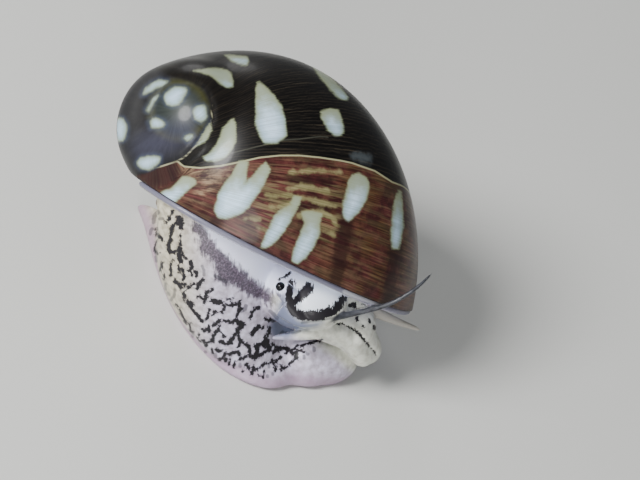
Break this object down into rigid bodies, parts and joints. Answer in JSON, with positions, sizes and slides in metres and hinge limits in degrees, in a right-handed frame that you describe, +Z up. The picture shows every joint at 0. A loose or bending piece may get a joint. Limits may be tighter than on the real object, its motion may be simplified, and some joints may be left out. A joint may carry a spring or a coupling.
{
  "type": "nerite snail",
  "caption": "Life-size still model of a crawling nerite snail: rounded glossy shell tipped to its left, broad foot, head with snout, two tentacles and stalked eyes.",
  "frame": {"origin": "on the floor under the middle of the model's box, on the plane of the sole", "axes": "+X forward along the foot, towards the head; +Y to the animal's left; +Z up from the sole"},
  "size_m": [0.0218, 0.0187, 0.0173],
  "materials": {
    "shell": "glossy wet shell, dark brown to red-brown with pale blotches",
    "operculum": "satin, grey-brown lid",
    "mantle": "wet, pale bluish grey",
    "skin": "wet skin, cream with a dark net",
    "tentacle": "wet skin, grey, slightly translucent",
    "eye": "glossy black"
  },
  "bodies": {
    "root": {"shell": "shell", "operculum": "operculum", "mantle": "mantle", "foot_front": "skin", "foot_middle": "skin", "foot_tail": "skin", "body_column": "skin", "head": "skin", "snout": "skin", "tentacle_right_base": "tentacle", "tentacle_right_middle": "tentacle", "tentacle_right_tip": "tentacle", "tentacle_left_base": "tentacle", "tentacle_left_tip": "tentacle", "eye_stalk_right": "skin", "eye_stalk_left": "skin", "eye_right": "eye", "eye_left": "eye"}
  },
  "joints": []
}
